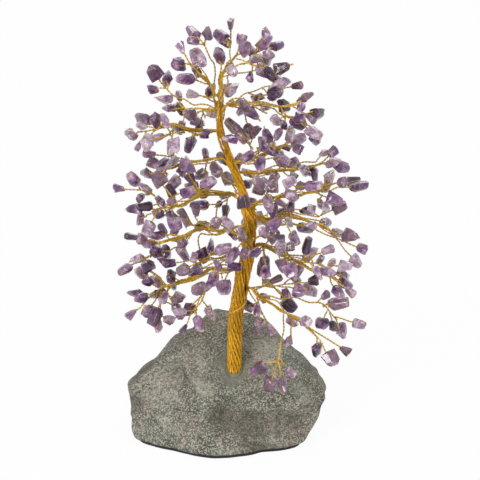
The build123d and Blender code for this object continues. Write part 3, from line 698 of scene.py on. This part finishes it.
# Pad: black felt under the stone, cut to the flat of its foot
padLook = {
    "colour": (0.012, 0.012, 0.013), "fibre": (0.036, 0.036, 0.039), "fibreScale": 2600.0,
    "bump": (0.8, 0.0004), "roughness": 0.95, "edge": 0.0003, "lift": 0.0004, "smooth": 4,
}
padMaterial, shader, coords = newMaterial("blackFelt")
fibre = noise(coords, padLook["fibreScale"])
feed(blend(fibre, padLook["colour"], padLook["fibre"]), shader, "Base Color")
feed(bump(fibre, *padLook["bump"]), shader, "Normal")
settle(shader, {"Roughness": padLook["roughness"]})
# the outline at each turn is the stone's furthest point that is still flat, averaged with its neighbours
rows = surface[1:-1].reshape(-1, stoneLook["around"], 3)
flat = rows[..., 2] < low[2] + padLook["lift"]
outline = np.where(flat, np.hypot(rows[..., 0], rows[..., 1]), 0).max(axis=0)
outline = np.mean([np.roll(outline, k) for k in range(-padLook["smooth"], padLook["smooth"] + 1)], axis=0)
# a flat disc of that outline with its edges eased: each ring is an inset and a height
under, over = np.array(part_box("base_pad"))[:, 2]
edge = padLook["edge"]
insets = np.array((edge, 0, 0, edge))[:, None]
levels = np.array((over, over - edge, under + edge, under))[:, None] + 0 * outline
turn = 2 * math.pi * np.arange(stoneLook["around"]) / stoneLook["around"]
rings = np.stack([(outline - insets) * np.cos(turn), (outline - insets) * np.sin(turn), levels], axis=-1)
disc = np.vstack([(0, 0, over), rings.reshape(-1, 3), (0, 0, under)])
padGrid = ballGrid(stoneLook["around"], len(rings) + 1)
newPiece("basePad", (disc, *padGrid[1:]), padMaterial, "base_pad", "felt")

# Glue: a cured bead round the trunk's foot, grey green with the stone's dust in it
glueLook = {
    "clear": (0.21, 0.205, 0.15), "dusty": (0.12, 0.12, 0.09), "dustScale": 700.0, "dustStep": (0.4, 0.65),
    "roughness": (0.16, 0.46), "bump": (0.3, 0.0003), "coat": 0.4,
}
glueMaterial, shader, coords = newMaterial("curedGlue")
dust = noise(coords, glueLook["dustScale"], detail=4.0)
feed(blend(step(dust, *glueLook["dustStep"]), glueLook["clear"], glueLook["dusty"]), shader, "Base Color")
feed(between(dust, *glueLook["roughness"]), shader, "Roughness")
feed(bump(dust, *glueLook["bump"]), shader, "Normal")
settle(shader, {"Coat Weight": glueLook["coat"]})

# Binding: one brighter wire wound over the strands of the trunk
bindingLook = {
    "bright": (0.95, 0.62, 0.11), "deep": (0.72, 0.42, 0.04), "roughness": 0.34, "mottleScale": 900.0,
    "metallic": 0.5,
}
bindingMaterial = wireFinish("bindingWire", bindingLook)

for name, material in (("socket_glue", glueMaterial), ("trunk_binding", bindingMaterial)):
    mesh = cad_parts[name].data
    mesh.materials.clear()
    mesh.materials.append(material)
print("pad, glue and binding finished")

# Stage: a pale floor and a white sky; what the camera, gloss and glass see of them is white
stageLook = {
    "floor": (0.90, 0.90, 0.90), "floorRoughness": 0.9, "floorGlow": 0.95, "half": 6.0, "drop": 0.0002,
    "sky": 0.48, "lampAim": (0.0, 0.0, 0.12),
    # each lamp: its place, its width and its power
    "lamps": {
        "key": ((-0.7, -1.1, 0.75), 0.7, 13.0),
        "fill": ((0.9, -1.0, 0.5), 0.9, 6.0),
        "rim": ((0.2, 1.0, 1.0), 0.8, 4.0),
    },
}


# 1 for a ray from the camera, or one that gloss or glass sends on, and 0 for the rest
def seenRay(tree):
    rays = tree.nodes.new("ShaderNodeLightPath")
    seen = [Value(tree, rays.outputs[f"Is {kind} Ray"]) for kind in ("Camera", "Glossy", "Transmission")]
    return seen[0].math("MINIMUM", seen[0] + seen[1] + seen[2], 1.0)


floorMaterial, shader, coords = newMaterial("paleFloor")
settle(shader, {"Base Color": (*stageLook["floor"], 1.0), "Roughness": stageLook["floorRoughness"]})
settle(shader, {"Specular IOR Level": 0.0})
tree = floorMaterial.node_tree
glow = tree.nodes.new("ShaderNodeEmission")
seen = seenRay(tree)
mixed = seen.node("ShaderNodeMixShader", {0: seen * stageLook["floorGlow"]})
tree.links.new(shader.outputs[0], mixed.socket.node.inputs[1])
tree.links.new(glow.outputs[0], mixed.socket.node.inputs[2])
tree.links.new(mixed.socket, tree.nodes["Material Output"].inputs["Surface"])
mesh = bpy.data.meshes.new("stageFloor")
half = stageLook["half"]
mesh.from_pydata([(-half, -half, 0), (half, -half, 0), (half, half, 0), (-half, half, 0)], [], [(0, 1, 2, 3)])
mesh.materials.append(floorMaterial)
stageFloor = bpy.data.objects.new("stageFloor", mesh)
stageFloor.location = (0, 0, -stageLook["drop"])
scene.collection.objects.link(stageFloor)

world = bpy.data.worlds.new("studio")
scene.world = world
world.use_nodes = True
tree = world.node_tree
feed(between(seenRay(tree), stageLook["sky"], 1.0), tree.nodes["Background"], "Strength")
settle(tree.nodes["Background"], {"Color": (1, 1, 1, 1)})


# A round lamp that faces the tree: its tilt is the angle from straight down, its turn the heading of its way
def softLamp(name, place, width, power):
    lamp = bpy.data.lights.new(name, "AREA")
    lamp.shape = "DISK"
    lamp.size = width
    lamp.energy = power
    holder = bpy.data.objects.new(name, lamp)
    way = unit(np.array(stageLook["lampAim"]) - np.array(place))
    holder.location = place
    holder.rotation_euler = (math.acos(-way[2]), 0, math.atan2(way[1], way[0]) - math.pi / 2)
    scene.collection.objects.link(holder)


for name, (place, width, power) in stageLook["lamps"].items():
    softLamp(name, place, width, power)

# Camera: in front of the tree, looking a little down
camera = bpy.data.cameras.new("camera")
camera.sensor_width = viewLook["sensor"]
camera.lens = camera.sensor_width * viewLook["distance"] / viewLook["width"]
camera.clip_end = viewLook["clip"]
holder = bpy.data.objects.new("camera", camera)
back = np.array((0, -math.cos(viewTilt), math.sin(viewTilt)))
holder.location = np.array(viewLook["centre"]) + back * viewLook["distance"]
holder.rotation_euler = (math.pi / 2 - viewTilt, 0, 0)
scene.collection.objects.link(holder)
scene.camera = holder
scene.view_settings.view_transform = "Standard"
print("stage made")
